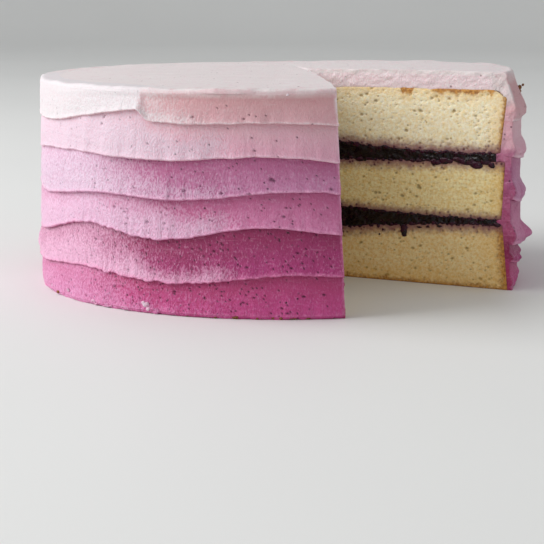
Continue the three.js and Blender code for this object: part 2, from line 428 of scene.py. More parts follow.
def clouded(tree, size, stretch=(1, 1, 1), detail=2.0, roughness=0.5):
    inputs = {"Vector": patterned(tree, size, stretch), "Scale": 1.0}
    inputs.update({"Detail": detail, "Roughness": roughness})
    return add_node(tree, "ShaderNodeTexNoise", inputs).outputs[0]


def named_value(tree, name):
    return add_node(tree, "ShaderNodeAttribute", attribute_name=name).outputs["Fac"]


def deeper(colour):
    """The same tint where the icing is thick and wet, so that it takes up more of the light; it is also
    the painted shade in the hollows of the tears.
    """
    return [part * kept for part, kept in zip(linear(colour), (0.92, 0.65, 0.76, 1.0))]


def icing_tint(tree, upper, lower, over, under, tears):
    """The tint of a band: deeper under the lip above and lighter at its own lip, partly the icing's own
    tint and partly painted shadow of the lip above; deeper in the hollows of the tears as painted shade;
    and smeared with its neighbours' tints on a cut."""
    blotch = worked(tree, "MULTIPLY", clouded(tree, 8, (1, 1, 0.6), detail=3), 0.5)
    down = worked(tree, "ADD", named_value(tree, "down"), blotch)
    colour = mixed(tree, ranged(tree, down, 0.3, 1.25), linear(upper), linear(lower))
    for side, tint in (("above", over), ("below", under)):
        smear = worked(tree, "MULTIPLY", named_value(tree, side), ranged(tree, blotch, 0.15, 0.32, 0.7, 1.2))
        colour = mixed(tree, smear, colour, linear(tint))
    wet = worked(tree, "MULTIPLY", named_value(tree, "cut"), ranged(tree, blotch, 0.15, 0.32, 0.35, 0.9))
    # painted shade: the hollows of the tears take the deeper tint
    hollow = worked(tree, "MULTIPLY", named_value(tree, "torn"), ranged(tree, tears, 0.36, 0.5, 0.6, 0.0))
    thick = ranged(tree, clouded(tree, 3.0, (1, 1, 0.8), detail=4, roughness=0.65), 0.5, 0.74, 0.0, 0.4)
    wet = worked(tree, "MAXIMUM", wet, thick)
    return mixed(tree, worked(tree, "MAXIMUM", wet, hollow), colour, deeper(upper))


def icing_frost_and_light(tree, tears):
    """How pale the icing is: the frosty paleness and painted light that the points carry, a painted
    highlight on the crests of the tears, painted shade keeping their hollows less pale, and streaks
    along the stroke.
    """
    # painted shade: the hollows of the tears stay less pale
    hollows = ranged(tree, tears, 0.38, 0.62, 0.42, 0.0)
    pale_and_lit = worked(tree, "MULTIPLY", named_value(tree, "frost_and_light"), 1.3)
    pale_and_lit = worked(tree, "SUBTRACT", pale_and_lit, hollows)
    drag = ranged(tree, clouded(tree, 1.4, (7, 7, 0.7), detail=3, roughness=0.6), 0.56, 0.76, 0.0, 0.2)
    # painted highlight: the crests of the tears turn pale
    crest = worked(tree, "MULTIPLY", named_value(tree, "torn"), ranged(tree, tears, 0.52, 0.7, 0.0, 0.5))
    return worked(tree, "MAXIMUM", drag, crest, pale_and_lit)


def icing_specks(tree, share):
    """Dark specks a millimetre across: bits of berry skin, and small open air bubbles whose hollows are
    painted dark as shade; with them the painted shade of the larger pits.
    """
    dots = add_node(tree, "ShaderNodeTexVoronoi", {"Vector": patterned(tree, 2.5), "Scale": 1.0})
    near = ranged(tree, dots.outputs["Distance"], 0.1, 0.25, 1.0, 0.0)
    pick = add_node(tree, "ShaderNodeSeparateColor", {"Color": dots.outputs["Color"]})
    some = ranged(tree, pick.outputs[0], 1 - share, 1 - share + 0.02)
    strength = ranged(tree, pick.outputs[1], 0.0, 1.0, 0.45, 1.0)
    clear = ranged(tree, named_value(tree, "frost_and_light"), 0.0, 1.0, 1.0, 0.3)
    spots = worked(tree, "MULTIPLY", near, some, strength, clear)
    return worked(tree, "MAXIMUM", spots, named_value(tree, "pit_shade"))


def icing_bump(tree, tears):
    torn = worked(tree, "MULTIPLY", tears, 1.5, named_value(tree, "torn"))
    grain = worked(tree, "MULTIPLY", clouded(tree, 0.6, (1, 1, 1.5), detail=3), 0.5)
    folds = worked(tree, "MULTIPLY", clouded(tree, 2.4, detail=3), 2.4, named_value(tree, "cut"))
    height = worked(tree, "ADD", torn, grain, folds)
    bump = add_node(tree, "ShaderNodeBump", {"Height": height, "Strength": 1.0, "Distance": 0.6 * MM})
    return bump.outputs[0]


def buttercream(name, upper, lower, pale, lip, speck, specks, over=None, under=None):
    """Whipped buttercream tinted with berry: satin, a little see-through, dragged by a palette knife.

    Down each band the knife pressed less, and where it lifted off it left short upright tears with
    pale crests, a painted highlight, and painted shade in their hollows. Under each lip the tint is
    deeper, partly painted shadow, and a painted highlight runs along each lip. On a cut the slicing
    knife has smeared the tints over and under this one into it.
    """
    material, tree = new_material(name)
    tears = clouded(tree, 0.7, (1, 1, 1.8), detail=3, roughness=0.6)
    colour = icing_tint(tree, upper, lower, over or upper, under or lower, tears)
    colour = mixed(tree, icing_frost_and_light(tree, tears), colour, linear(pale))
    # painted highlight: a bright line along each lip, in the tint of the lip
    lip_highlight = worked(tree, "MULTIPLY", named_value(tree, "edge"), ranged(tree, tears, 0.4, 0.62, 0.55, 1.0))
    colour = mixed(tree, lip_highlight, colour, linear(lip))
    colour = mixed(tree, worked(tree, "MULTIPLY", icing_specks(tree, specks), 0.95), colour, linear(speck))
    shader = add_node(tree, "ShaderNodeBsdfPrincipled", {
        "Base Color": colour, "Roughness": 0.5, "IOR": 1.46, "Normal": icing_bump(tree, tears),
        "Subsurface Weight": 0.2, "Subsurface Radius": (1.0, 0.6, 0.7), "Subsurface Scale": 1.0 * MM,
    })
    finish_material(tree, shader)
    return material


def crumb_tint(tree, pale, deep, hollow):
    """Cut crumb: mottled from one thin wall of the foam to the next, with painted shade in its holes:
    holes of two sizes in the pattern, and the points sunk into the cut.
    """
    mottle = clouded(tree, 1.3, detail=4, roughness=0.7)
    colour = mixed(tree, ranged(tree, mottle, 0.34, 0.68), linear(pale), linear(deep))
    # painted shade where the cut is sunk into a hole
    pore_shading = worked(tree, "MULTIPLY", named_value(tree, "sunk_shade"), 0.7)
    for size, few, strength in ((1.1, 0.3, 0.5), (2.6, 0.72, 0.8)):
        inputs = {"Vector": patterned(tree, size, (1, 1, 0.8)), "Scale": 1.0}
        holes = add_node(tree, "ShaderNodeTexVoronoi", inputs)
        near = ranged(tree, holes.outputs["Distance"], 0.06, 0.3, 1.0, 0.0)
        pick = add_node(tree, "ShaderNodeSeparateColor", {"Color": holes.outputs["Color"]}).outputs[0]
        dark = worked(tree, "MULTIPLY", near, ranged(tree, pick, few, 1.0, 0.0, strength))
        pore_shading = worked(tree, "MAXIMUM", pore_shading, dark)
    return mixed(tree, pore_shading, colour, linear(hollow))


def baked(tree, colour):
    """Golden towards the crust, and brown at it."""
    crust = named_value(tree, "crust")
    colour = mixed(tree, ranged(tree, crust, 0.0, 6.0, 0.4, 0.0), colour, linear("#e0b05a"))
    ragged = worked(tree, "MULTIPLY", clouded(tree, 1.6, detail=4, roughness=0.7), 3.2)
    browned = ranged(tree, worked(tree, "ADD", crust, ragged), 0.9, 2.6, 0.9, 0.0)
    crusty = mixed(tree, ranged(tree, clouded(tree, 1.2), 0.4, 0.6), linear("#c68a3c"), linear("#9c6028"))
    return mixed(tree, browned, colour, crusty)


def soaked(tree, colour):
    """Purple where the jam has soaked in, with darker drops of it in the pores."""
    spread = worked(tree, "MULTIPLY", clouded(tree, 2.2, detail=4, roughness=0.65), -5.0)
    wet = worked(tree, "ADD", named_value(tree, "soak"), spread)
    colour = mixed(tree, ranged(tree, wet, -2.4, 2.8, 0.9, 0.0), colour, linear("#85505c"))
    drops = add_node(tree, "ShaderNodeTexVoronoi", {"Vector": patterned(tree, 2.3), "Scale": 1.0})
    dark = ranged(tree, drops.outputs["Distance"], 0.12, 0.36, 1.0, 0.0)
    dark = worked(tree, "MULTIPLY", dark, ranged(tree, wet, -1.5, 2.4, 1.0, 0.0))
    return mixed(tree, worked(tree, "MULTIPLY", dark, 0.85), colour, linear("#4a1a30"))


# hollow is the tint of the painted shade in the crumb's holes
def sponge_crumb(name, pale, deep, hollow="#8a6c30"):
    """Butter sponge cut with a knife: an open, dry, pale yellow crumb that goes golden at the crust
    and purple where the jam has soaked in."""
    material, tree = new_material(name)
    colour = soaked(tree, baked(tree, crumb_tint(tree, pale, deep, hollow)))
    grain = clouded(tree, 0.6, detail=3, roughness=0.7)
    bump = add_node(tree, "ShaderNodeBump", {"Height": grain, "Strength": 0.8, "Distance": 0.4 * MM})
    shader = add_node(tree, "ShaderNodeBsdfPrincipled", {
        "Base Color": colour, "Roughness": 0.85, "IOR": 1.35, "Normal": bump.outputs[0],
        "Subsurface Weight": 0.15, "Subsurface Radius": (1.0, 0.7, 0.4), "Subsurface Scale": 1.2 * MM,
    })
    finish_material(tree, shader)
    return material


def berry_jam():
    """Dark berry jam, boiled thick: nearly black in bulk, plum red where it is thin, wet and lumpy."""
    material, tree = new_material("dark berry jam")
    edge = worked(tree, "MULTIPLY", named_value(tree, "thin"), 0.2)
    thin = worked(tree, "ADD", clouded(tree, 2.5, detail=3), edge)
    colour = mixed(tree, ranged(tree, thin, 0.5, 0.8), linear("#0d040a"), linear("#380b24"))
    seeds = clouded(tree, 0.8, detail=2, roughness=0.6)
    bump = add_node(tree, "ShaderNodeBump", {"Height": seeds, "Strength": 0.6, "Distance": 0.5 * MM})
    shader = add_node(tree, "ShaderNodeBsdfPrincipled", {
        "Base Color": colour, "Roughness": 0.15, "IOR": 1.38, "Normal": bump.outputs[0],
    })
    finish_material(tree, shader)
    return material


def plain_floor():
    material, tree = new_material("pale matt board")
    shade = clouded(tree, 400, detail=2)
    colour = mixed(tree, shade, linear("#e6e6e4"), linear("#dededc"))
    shader = add_node(tree, "ShaderNodeBsdfPrincipled", {"Base Color": colour, "Roughness": 0.6})
    finish_material(tree, shader)
    return material


# The icing

BAND_TINTS = [
    # upper tint (its depth partly painted shadow under the lip above), lower tint, frosty tint, tint of the
    # painted highlight along the lip, specks' tint, share of specks
    ("#ce9c9f", "#d3a4ab", "#dad2d5", "#f0dde2", "#62303e", 0.04),
    ("#dcb0ba", "#dda5b9", "#ddc5d3", "#f4cfe0", "#52203a", 0.07),
    ("#b25f8a", "#c883ab", "#e0c4d8", "#f3b6d6", "#400c2e", 0.13),
    ("#b85c88", "#d27ea9", "#e2b8d2", "#f2aad0", "#3c0a2a", 0.18),
    ("#94265a", "#b0387a", "#e6b0cd", "#f092c0", "#260318", 0.38),
    ("#b23a70", "#c6478a", "#e29ec6", "#e890c0", "#260318", 0.36),
]
TOP_TINTS = ("#e1d6d6", "#ead4d8", "#f2e9ec", "#f2e9ec", "#6a3a46", 0.12)
# Paleness of each band at the left, towards the window: partly the knife's pale cream, partly painted light;
# with the angle where it ends and the degrees it fades over. Then paleness low on each band at the front and
# left, partly painted sheen, and the share of the way down where it starts.
FROST_AND_LIGHT_LEFT = (0.97, 0.75, 0.76, 0.64, 0.62, 0.55)
FROST_AND_LIGHT_LEFT_ENDS = ((241, 3), (268, 48), (252.5, 34), (264, 42), (254, 34), (252, 36))
FROST_AND_SHEEN_LOW = (0.4, 0.62, 0.4, 0.7, 0.78, 0.3)
FROST_AND_SHEEN_LOW_STARTS = (0.42, 0.25, 0.36, 0.3, 0.56, 0.5)
CUT_WETNESS = (0.1, 0.35, 0.85, 0.9, 1.0, 1.0)  # how much deeper the tint of a cut is than the side's
COLUMN_SIZE = 0.55
BEHIND_SIZE = 1.3
ROW_SIZE = 0.54
ROUND_LENGTH = math.radians(304) * RIM_RADIUS


def column_shares():
    """Where a band has its columns, as shares of the way round: closest at the front and the cuts."""
    shares = np.linspace(0, 1, 4000)
    close = np.maximum(ease((shares - 0.62) / 0.04), ease((0.06 - shares) / 0.03))
    size = BEHIND_SIZE + (COLUMN_SIZE - BEHIND_SIZE) * close
    passed = np.concatenate([[0], np.cumsum(ROUND_LENGTH / 3999 / size[1:])])
    return np.interp(np.linspace(0, passed[-1], round(passed[-1])), passed, shares)[None, :]


def pitted(x, y, z, count, bubbles, rng):
    """How deep the open bubbles make each point of a band, and how dark the painted shade in their
    hollows makes it.
    """
    depth, dark = np.zeros(z.shape), np.zeros(z.shape)
    rows, columns = z.shape
    spots = []
    for angle, height, size in bubbles:
        place = on_circle(RIM_RADIUS, angle)
        away = (x - place[0]) ** 2 + (y - place[1]) ** 2 + (z - height) ** 2
        spots.append((*np.unravel_index(away.argmin(), z.shape), BUBBLE_SHARE * size))
    for _ in range(count):
        row, column = rng.integers(2, rows - 2), rng.integers(4, columns - 4)
        spots.append((row, column, rng.uniform(0.28, 0.52) + 0.4 * rng.random() ** 9))
    for row, column, size in spots:
        part = np.s_[max(row - 6, 0):row + 7, max(column - 6, 0):column + 7]
        away = (x[part] - x[row, column]) ** 2 + (y[part] - y[row, column]) ** 2
        away = np.sqrt(away + 1.7 * (z[part] - z[row, column]) ** 2) / size
        sunk = size * (0.9 * np.exp(-away**2) - 0.3 * np.exp(-((away - 1.5) ** 2) * 4))
        depth[part] = np.where(np.abs(sunk) > np.abs(depth[part]), sunk, depth[part])
        shade = 1 if size < 0.8 else 0.6
        dark[part] = np.maximum(dark[part], shade * np.exp(-(away * 1.15) ** 4))
    return depth, dark


def cut_rounding(share):
    """How much the side falls back towards the cuts, most at the far one."""
    far, near = share * ROUND_LENGTH / 1.8, (1 - share) * ROUND_LENGTH / 1.2
    return CUT_ROUND * (np.clip(1 - far, 0, 1) ** 2 + 0.4 * np.clip(1 - near, 0, 1) ** 2)


def band_tip(index, angle, arc):
    """Height of a band's lower edge, and radius and height of its furthest point, just above it."""
    last = index == len(LIPS)
    tear = hump(angle, LIP_TEARS[index]) if index in LIP_TEARS else 0
    ragged = (0.1 + 0.35 * tear) * noise(arc / 1.7, 0, index, 3) + 0.22 * noise(arc / 7, 0, index, 4)
    lip = lip_height(index, angle) + ragged if not last else np.zeros_like(angle)
    tip = TUCK_RADIUS + (lip_reach(index, angle) if not last else LIP_REACH - 0.4)
    rough = 0.35 + 0.5 * hump(angle, FULL_SIDE) - 0.2 * hump(angle, SMOOTH_SIDE)
    tip = tip + rough * layered_noise(arc / 5, 0, index, 5, 2)
    tip = tip + (0.12 + 0.2 * tear) * noise(arc / 1.4, 0, index, 6)
    if last:
        tip = tip + reach_of(FOOT_FLARE, angle) - 0.8 * hump(angle, SMOOTH_SIDE)
    return lip, tip, lip + (FOOT_TIP if last else LIP_ROUND + 0.2)


def band_top(index, angle, arc):
    """Radius and height where a band starts: at the rim, or under the lip above it."""
    if index == 0:
        return RIM_RADIUS + 0.1 - reach_of(RIM_TAPER, angle), top_height(RIM_RADIUS, angle) - RIM_ROUND
    tuck = TUCK_RADIUS - 0.2 + reach_of(FULL_SIDE, angle) + 0.3 * noise(arc / 9, 0, index, 7)
    tuck = tuck + 0.4 * SMOOTH_REACH[index - 1] * hump(angle, SMOOTH_SIDE)
    return tuck, lip_height(index - 1, angle) + LIP_SEAM + 0.8


def band_flare(index, angle, steps):
    """How far out a band is, from 0 at its top to 1 at its furthest point: hollow at the front,
    swelling at the left, and with a bead over its lip where the icing is thickest."""
    flare = 0.45 * steps + 0.55 * steps**2.2
    bead = 0.14 + 0.86 * ease((steps - 0.5) / 0.34) - 0.5 * ease((steps - 0.85) / 0.15)
    if index == 0:
        flare = flare - 0.5 * ease(steps / 0.25) * (1 - steps)
        bead = np.minimum(steps / 0.72, 1) - 0.4 * ease((steps - 0.86) / 0.14)
    swell = np.sin(np.pi / 2 * np.minimum(steps / 0.7, 1)) - 0.45 * ease((steps - 0.7) / 0.3)
    flare = flare + (swell - flare) * hump(angle, SMOOTH_SIDE)
    return flare + (bead - flare) * hump(angle, FULL_SIDE)


def band_surface(index, share):
    """A band's outer face, row by row: angle, way round, radius, height and share of the way down."""
    angle = round_cake(share, TUCK_RADIUS + LIP_REACH)
    arc = np.radians(angle) * RIM_RADIUS
    lip, tip, tip_height = band_tip(index, angle, arc)
    tuck, upper = band_top(index, angle, arc)
    steps = np.linspace(0, 1, max(8, round(float(np.mean(upper - tip_height)) / ROW_SIZE)))[:, None]
    radius = tuck + (tip - tuck) * band_flare(index, angle, steps) - cut_rounding(share)
    height = upper + (tip_height - upper) * steps
    if index < len(LIPS):
        broken = 0.7 + 0.45 * noise(arc / 2.6, 0, index, 8)
        radius = radius + LIP_BEAD * broken * np.exp(-(((height - tip_height) / 0.9) ** 2))
    whole = np.zeros_like(height)
    return angle + whole, arc + whole, radius, height, steps + whole, lip


def frost_light_and_tears(index, angle, down):
    """Where the palette knife lifted off and left a pale, torn face: paleness and tears from 0 to 1.
    The paleness at the left, the side towards the window, is partly the knife's pale cream and partly
    painted light; low on each band at the front and left it is partly painted sheen; and just under
    the lip above the paleness at the left is held back as painted shadow.
    """
    arc = np.radians(angle) * RIM_RADIUS
    turned = angle + 0 * down  # the front of the cake runs from 180 on the left to 277 at the near cut
    behind = 0.7 * ease(0.45 + 0.7 * noise(arc / 48, down * 0.8, index, 17)) * ease((182 - turned) / 30)
    behind = behind * ease(turned / 60)
    front = ease((turned - 165) / 15)
    end, fade = FROST_AND_LIGHT_LEFT_ENDS[index]
    left = ease((end - turned) / fade)
    if index == 0:
        left = np.maximum(left, 0.5 * ease((257 - turned) / 18))
    left = np.maximum(left * front, behind)
    # painted shadow: less pale just under the lip above
    if index:
        left = left * (0.55 + 0.45 * ease(down / 0.16))
    middle = np.maximum(ease((268 - turned) / 16) * front, behind)
    start = FROST_AND_SHEEN_LOW_STARTS[index] - 0.3 * ease((end - turned) / fade) * (index > 0)
    low = ease((down - start + 0.2 * noise(arc / 13, down * 2, index, 18)) / 0.6)
    frost_and_light = 1 - (1 - FROST_AND_LIGHT_LEFT[index] * left) * (1 - FROST_AND_SHEEN_LOW[index] * low * middle)
    torn = (0.5 + 0.5 * ease(down / 0.7)) * (0.55 + 0.45 * middle) * min(1, 0.4 + index * 0.3)
    return frost_and_light, torn


def icing_relief(index, arcs, height, down, torn):
    """What the palette knife leaves on a band, in millimetres outwards."""
    broad = 0.24 * layered_noise(arcs / 26, height / 9, index, 11, 2)
    drag = 0.07 * noise(arcs / 11, height / 1.1, index, 12)
    tears = noise(arcs / 0.8, height / 2.6, index, 14) + 0.7 * noise(arcs / 1.6, height / 3.5, index, 15)
    relief = broad + drag + 0.055 * tears * torn
    if index == 0:
        before = FIRST_STROKE_END - np.degrees(arcs / RIM_RADIUS)
        relief = relief + 0.55 * ease(before / 1.1) * np.exp(-np.maximum(before, 0) / 14)
    return relief


def make_band(index, rng):
    last = index == len(LIPS)
    share = column_shares()
    angles, arcs, radius, height, down, lip = band_surface(index, share)
    x, y = on_circle(radius, angles)
    depth, dark = pitted(x, y, height, PIT_COUNTS[index], BUBBLES[index], rng)
    frost_and_light, torn = frost_light_and_tears(index, angles, down)
    dark = dark * (1 - 0.5 * frost_and_light)
    radius = radius + icing_relief(index, arcs, height, down, torn) * ease(down * 5) - depth
    broken = 0.75 + 0.25 * noise(arcs / 1.8, 0, index, 16)
    # painted highlight along each lip, weaker along the foot
    edge = ease((down - 1) * 17 + 1) * (0.35 if last else broken)
    edge[:, -1] = 0.8
    edge[:, -2] = np.maximum(edge[:, -2], 0.4)
    rows = [(radius, height, down, dark, frost_and_light, torn, edge)]
    tip, low, angle, pale = radius[-1:], height[-1:], angles[-1:], frost_and_light[-1:]

    def add_row(*values):
        rows.append([np.zeros_like(low) + value for value in values])

    if last:  # straight down to its foot
        foot = FOOT_RADIUS + reach_of(FOOT_FLARE, angle)
        foot = foot - 0.3 + 0.5 * layered_noise(arcs[-1:] / 3.2, 0, 0, 21)
        for turn in np.linspace(0, 1, 8)[1:]:
            add_row(tip + (foot - tip) * turn**2, low * (1 - turn), 1, 0, pale, 0.3, 0)
    else:  # under the lip and back to the seam
        for turn in np.radians(np.linspace(0, 125, 7))[1:]:
            inward, drop = LIP_ROUND * (1 - math.cos(turn)), LIP_ROUND * math.sin(turn)
            # painted shadow under the lip: its underside takes the deeper upper tint and loses its paleness
            # and highlight, and the row back to the seam is deeper still
            seen = 1 - ease(turn / 1.3)
            add_row(tip - inward, low - drop, seen, 0, pale * seen, 0, seen)
        back = TUCK_RADIUS - 0.5 + reach_of(FULL_SIDE, angle) * 0.8
        add_row(back, low - LIP_ROUND * 0.6, 0.2, 0, 0, 0, 0)
    outer = sum(len(np.atleast_2d(row[0])) for row in rows)
    for r, z in inner_wall(index, angle, lip):
        add_row(r, z, 0.5, 0, 0, 1, 0)
    rim = rim_rows(angle, arcs[-1:]) if index == 0 else []
    for r, z in rim:
        add_row(r, z, 1, 0, frost_and_light[:1], 0, 0)
    return closed_band(index, share, rows, outer, len(rim))


def sponge_radius(level, angle, name="sponge_middle"):
    """Radius of a sponge's baked edge at a share of its height. The lowest spreads at its foot, and
    the top one has shrunk from the tin towards the jam."""
    near = hump(angle, FAR_SIDE)
    edge = SPONGE_RADIUS - 0.4 + far_reach(name, angle)
    if name == "sponge_top":
        return edge + near * (2.6 * level - 2.4)
    if name == "sponge_bottom":
        return edge + (1 - level) * (1 + reach_of(FOOT_FLARE, angle))
    return edge - near * 1.2 * (1 - level)


def jam_radius(name, angle):
    return JAM_RADIUS + 1.2 - 0.8 * (1 + np.sin(np.radians(7 * angle))) + far_reach(name, angle)


def inner_wall(index, angle, lip):
    """Radius and height of a band's back, from its lower to its upper end: against the sponges it
    stops just inside their crust, and between them it runs in to the jam."""
    wall, gap = SPONGE_RADIUS - 2.6, JAM_RADIUS - 3.0
    low = 0 * angle if index == len(LIPS) else lip_height(index, angle) + LIP_SEAM
    if index:
        high = lip_height(index - 1, angle) + LIP_SEAM
    else:
        high = layer_height("top_sponge_top", wall + 0 * angle, angle) - 0.6
    rows = [(wall, low)]
    for under, over in JAMS.values():
        bottom = np.clip(layer_height(under, 100 + 0 * angle, angle) - 0.3, low, high)
        top = np.clip(layer_height(over, 100 + 0 * angle, angle) + 0.3, low, high)
        inward = np.where(top - bottom > 0.1, gap, wall)
        rows += [(wall, bottom), (inward, bottom), (inward, top), (wall, top)]
    rows.append((wall, high))
    if index == 0:
        rows.append((TOP_COAT_RADIUS, high + 0.5))
    return rows


def rim_rows(angle, arc):
    """Radius and height of the first band's top face and rim, from the inside out."""
    rough = 0.3 * layered_noise(arc / 11, 0, 0, 31, 2) + 0.12 * noise(arc / 2.5, 0, 0, 32)
    curl = reach_of(RIM_CURL, angle)
    inner = RIM_RADIUS - RIM_ROUND - reach_of(RIM_TAPER, angle)
    rows = []
    for share in np.linspace(0, 1, 10):
        radius = TOP_COAT_RADIUS + share * (inner - TOP_COAT_RADIUS)
        x, y = on_circle(radius, angle)
        edge = ease((radius - TOP_COAT_RADIUS) / 6)
        rows.append((radius, top_height(radius, angle) + top_relief(x, y) + (rough + 0.3 * curl) * edge))
    crown = top_height(inner, angle)
    for turn in np.radians(np.linspace(14, 84, 6)):
        radius = inner + RIM_ROUND * math.sin(turn) + 0.5 * rough + curl
        fade = math.cos(turn)
        x, y = on_circle(inner, angle)
        rise = (top_relief(x, y) + rough + 0.3 * curl) * fade
        rows.append((radius, crown - RIM_ROUND * (1 - math.cos(turn)) + rise))
    return rows


def covered_radius(radius, angle, height):
    """How far out sponge or jam hides the back of the icing on a cut; 0 above the top sponge."""
    reach = np.where(height < RIM_HEIGHT - 12, JAM_RADIUS - 0.4, 0.0)
    radius = np.minimum(radius, SPONGE_RADIUS + far_reach("sponge_top", angle))
    for name, (under, over) in (SPONGES | JAMS).items():
        low, high = height_of(under)(radius, angle), height_of(over)(radius, angle)
        level = (height - low) / (high - low)
        edge = sponge_radius(level, angle, name) if name in SPONGES else jam_radius(name, angle) - 0.6
        reach = np.where((level > 0) & (level < 1), edge, reach)
    return reach


def end_grid(outline, back, cut, seed):
    """Points across a cut end, from its outline to its back, as uneven as the knife left the icing."""
    def passed(line):
        return np.concatenate([[0], np.cumsum(np.linalg.norm(np.diff(line, axis=0), axis=1))])

    share = passed(outline) / passed(outline)[-1]
    inner = [np.interp(share * passed(back)[-1], passed(back), back[:, n]) for n in range(3)]
    across = np.linspace(0, 1, 15)[1:, None]
    grid = outline + (np.stack(inner, -1) - outline) * across[..., None]
    height = grid[..., 2]
    radius, angle = polar(grid[..., 0], grid[..., 1])
    covered = covered_radius(radius, angle, height)
    hills = 0.1 + 0.38 * layered_noise(height / 3.4, radius / 2.6, seed, 19, 3)
    hills = hills + 0.16 * layered_noise(height / 1.5, radius / 1.2, seed, 20, 2)
    place = np.arange(len(outline))
    ends = ease(np.minimum(place, len(outline) - 1 - place) / 4)
    hills = hills * ends * ease(across * 4) * ease((radius - covered + 0.1) / 1.2)
    hills = hills - 1.3 * ease((covered - 0.3 - radius) / 1.0)  # clear of the sponge's pores
    return grid + hills[..., None] * cut_normal(cut)


def beside(height, low, high, at_cut, index):
    """How far each point of a cut has taken on the tints of what is above and below it. The first
    band is thin at the rim, so that its cut has mostly the tint of the top."""
    reach = (height - (high + low) / 2) / np.maximum((high - low) / 2, 1)
    lift = -0.3 if index else 0.8
    return at_cut * ease(reach * 1.3 + lift), at_cut * ease(-reach * 1.3 - 0.3)


def band_values(index, share, rim, angle, radius, height, row_values):
    """The numbers that tint each point of a band, under the names that the icing looks for. The rim
    of the first band has the tint of the top."""
    down, dark, frost_and_light, torn, edge = row_values
    travel = share * ROUND_LENGTH
    at_cut = ease(1 - np.minimum(travel, ROUND_LENGTH - travel) / CUT_SMEAR)
    above, below = beside(height, height.min(0), height.max(0), at_cut, index)
    if rim:
        out = radius[-rim:] + reach_of(RIM_TAPER, angle[-rim:]) - RIM_RADIUS + 0.9
        above[-rim:] = 1 - 0.5 * ease(out)
        above[:len(RIM_TINTING)] = np.array(RIM_TINTING)[:, None]
    return {"down": down * (1 - at_cut) + 0.3 * at_cut, "pit_shade": dark, "frost_and_light": frost_and_light * (1 - at_cut),
            "torn": torn, "edge": edge, "above": above, "below": below,
            "cut": at_cut * CUT_WETNESS[index] + 0 * down}


def closed_band(index, share, rows, outer, rim):
    """The closed piece from its rows: the outer ones, then its back, then the rim of the first band."""
    radius, height, *row_values = (np.concatenate([np.atleast_2d(row[n]) for row in rows]) for n in range(7))
    angle = round_cake(share, radius)
    x, y = on_circle(radius, angle)
    count, columns = radius.shape
    points = np.stack([x, y, height], -1).transpose(1, 0, 2)
    corner = np.arange(columns - 1)[:, None] * count + np.arange(count)[None, :]
    after = np.arange(columns - 1)[:, None] * count + (np.arange(count)[None, :] + 1) % count
    faces = np.stack([corner, after, after + count, corner + count], -1).reshape(-1, 4).tolist()
    values = band_values(index, share, rim, angle, radius, height, row_values)
    parts = [points.reshape(-1, 3)]
    numbers = {name: [value.T.ravel()] for name, value in values.items()}
    path = np.array([*range(count - rim, count), *range(outer)])
    back = np.arange(count - rim - 1, outer - 1, -1)
    for column, cut in ((0, FAR_CUT), (columns - 1, NEAR_CUT)):
        grid = end_grid(points[column][path], points[column][back], cut, index)
        first = sum(map(len, parts))
        new = first + np.arange(grid[..., 0].size).reshape(grid.shape[:2])
        faces += quads(np.concatenate([column * count + path[None, :], new])).tolist()
        parts.append(grid.reshape(-1, 3))
        level = parts[-1][:, 2]
        over, under = beside(level, level.min(), level.max(), 1, index)
        added = {"down": 0.3, "torn": 0.3, "above": over, "below": under, "cut": CUT_WETNESS[index]}
        for name in numbers:
            numbers[name].append(added.get(name, 0) + 0 * level)
    piece = make_piece(f"buttercream_band_{index + 1}", np.concatenate(parts), faces, band_material(index),
                       [f"icing_band_{index + 1}"],
                       {name: np.concatenate(value) for name, value in numbers.items()})
    face_outwards(piece)
    piece.data.set_sharp_from_angle(angle=math.radians(62))
    return piece


def band_material(index):
    over = BAND_TINTS[index - 1][1] if index else TOP_TINTS[0]
    under = BAND_TINTS[min(index + 1, len(LIPS))][0]
    return buttercream(f"buttercream tint {index + 1}", *BAND_TINTS[index], over, under)


def top_relief(x, y):
    """Shallow sweeps that the knife left on the top, and the groove where it ran on past the slice."""
    radius, angle = polar(x, y)
    sweep = 0.3 * layered_noise(x / 34, y / 12, 1, 41, 2) + 0.1 * noise(x / 9, y / 2.2, 1, 43)
    way = math.radians(KNIFE_MARK["angle"])
    along = (x - SLICE_POINT[0]) * math.cos(way) + (y - SLICE_POINT[1]) * math.sin(way)
    aside = -(x - SLICE_POINT[0]) * math.sin(way) + (y - SLICE_POINT[1]) * math.cos(way)
    on_line = ease(1 - along / KNIFE_MARK["length"]) * (along > -2)
    groove = np.exp(-((aside / KNIFE_MARK["width"]) ** 2)) * KNIFE_MARK["depth"]
    return sweep - groove * on_line


def make_top():
    """The icing on the top, with the layer of it that the far cut shows."""
    def cut_relief(cut, along, z):
        return 0.28 * layered_noise(along / 3, z / 1.8, cut, 51) + 0.15

    sheets = layer_sheets(
        height_of("top_sponge_top"), top_height,
        lambda level, angle: TOP_COAT_RADIUS + 0.4 + 0 * angle, cut_relief, 130, 18, 285, top_relief)
    points, faces = welded(sheets)
    material = buttercream("buttercream top coat", *TOP_TINTS)
    under = top_height(*polar(*points.T[:2])) - points[:, 2]
    values = {"down": ease((under - 0.8) / 2), "torn": 0.3 * ease((under - 0.8) / 2),
              "frost_and_light": 0.25 * ease((under - 0.8) / 2)}
    piece = make_piece("buttercream_top", points, faces, material, ["icing_top"], values)
    face_outwards(piece)
    piece.data.set_sharp_from_angle(angle=math.radians(50))
    return piece


# The sponges and the jam

